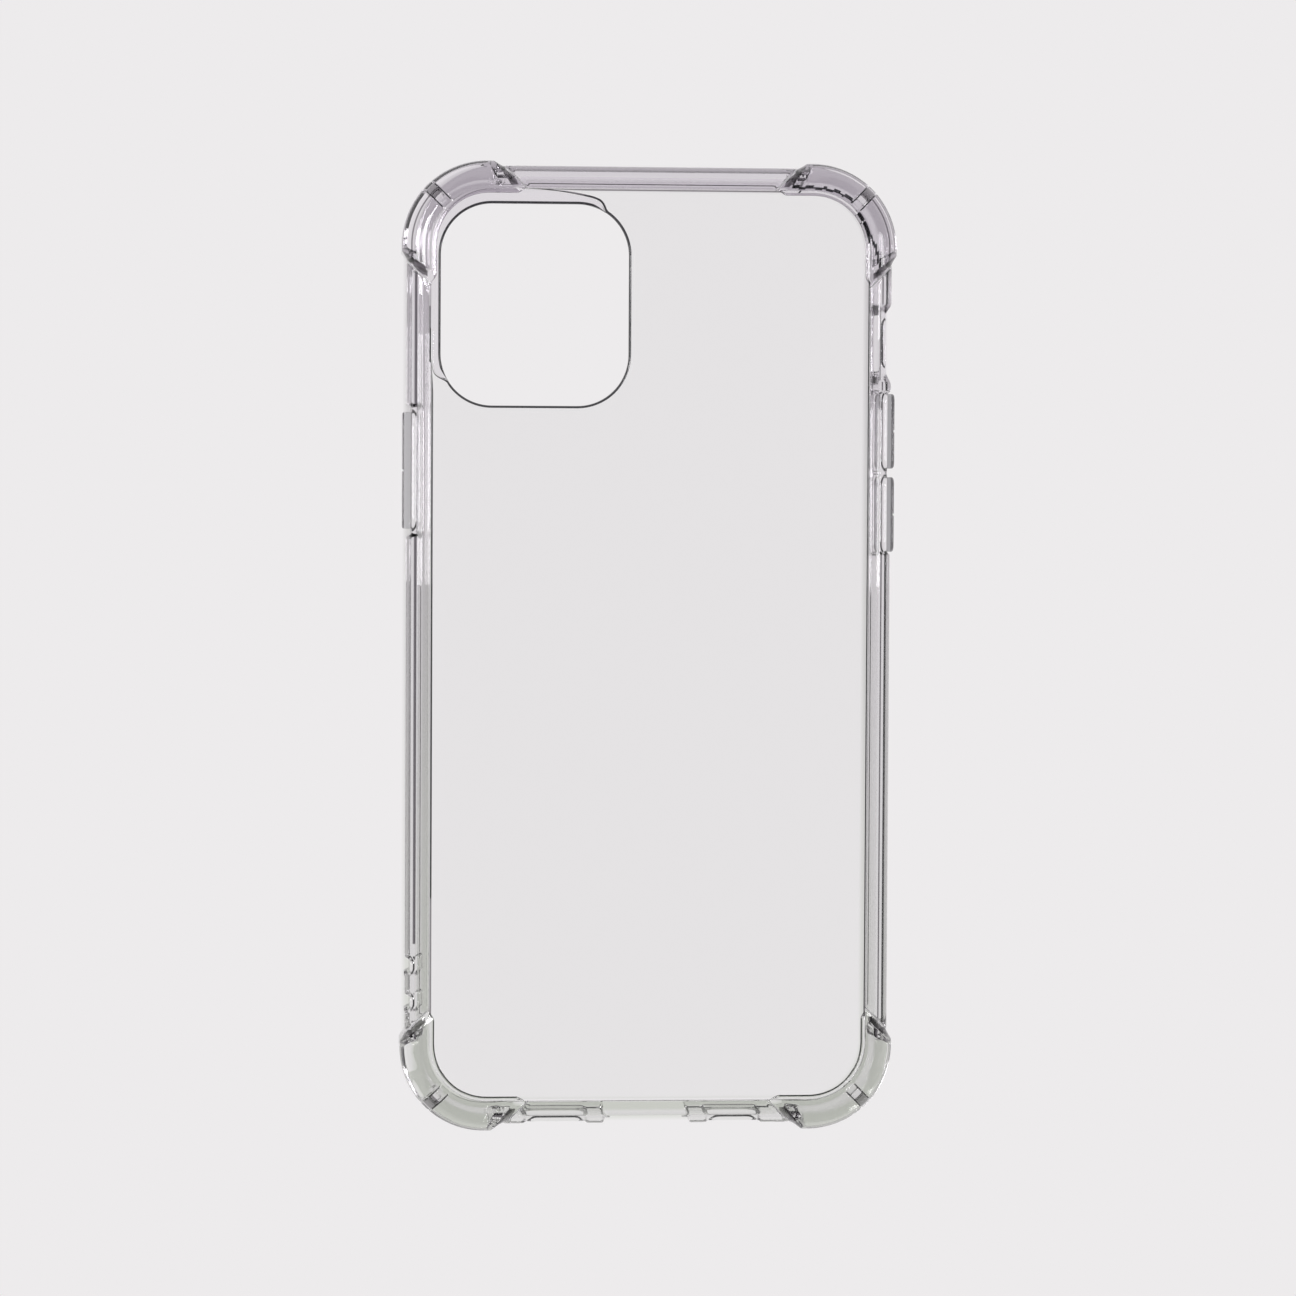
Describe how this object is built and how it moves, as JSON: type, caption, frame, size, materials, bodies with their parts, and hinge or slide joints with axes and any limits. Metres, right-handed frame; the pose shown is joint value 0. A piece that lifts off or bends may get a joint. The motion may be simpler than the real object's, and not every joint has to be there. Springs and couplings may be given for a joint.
{
  "type": "phone case",
  "caption": "Clear shockproof phone case: hard flat back plate in a soft frame with air-cushion corners, press pads, camera cutout and wrist strap slot.",
  "frame": {"origin": "under the middle of the case, on the plane that the corner bumpers rest on when it lies on its open side", "axes": "+Z out of the case's back, +Y towards the camera end, +X towards the volume buttons"},
  "size_m": [0.076, 0.1484, 0.0109],
  "materials": {
    "hard_plate": "polished, clear",
    "soft_frame": "glossy, clear soft moulding",
    "button_pad": "glossy, clear soft moulding",
    "thin_web": "glossy, clear soft moulding"
  },
  "bodies": {
    "case": {"back_plate": "hard_plate", "camera_border": "soft_frame", "top_rail": "soft_frame", "bottom_rail": "soft_frame", "left_rail": "soft_frame", "right_rail": "soft_frame", "top_left_bumper": "soft_frame", "top_right_bumper": "soft_frame", "bottom_left_bumper": "soft_frame", "bottom_right_bumper": "soft_frame", "power_button_web": "thin_web", "volume_up_web": "thin_web", "volume_down_web": "thin_web", "strap_bar": "soft_frame"},
    "power_pad": {"power_button": "button_pad"},
    "volume_up_pad": {"volume_up_button": "button_pad"},
    "volume_down_pad": {"volume_down_button": "button_pad"}
  },
  "joints": [
    {"name": "power_press", "type": "slide", "parent": "case", "child": "power_pad", "axis": [1, 0, 0], "range_m": [0, 0.00035], "stiffness_N_per_m": 6000, "deforming": ["power_button_web"]},
    {"name": "volume_up_press", "type": "slide", "parent": "case", "child": "volume_up_pad", "axis": [-1, 0, 0], "range_m": [0, 0.00035], "stiffness_N_per_m": 6000, "deforming": ["volume_up_web"]},
    {"name": "volume_down_press", "type": "slide", "parent": "case", "child": "volume_down_pad", "axis": [-1, 0, 0], "range_m": [0, 0.00035], "stiffness_N_per_m": 6000, "deforming": ["volume_down_web"]}
  ]
}
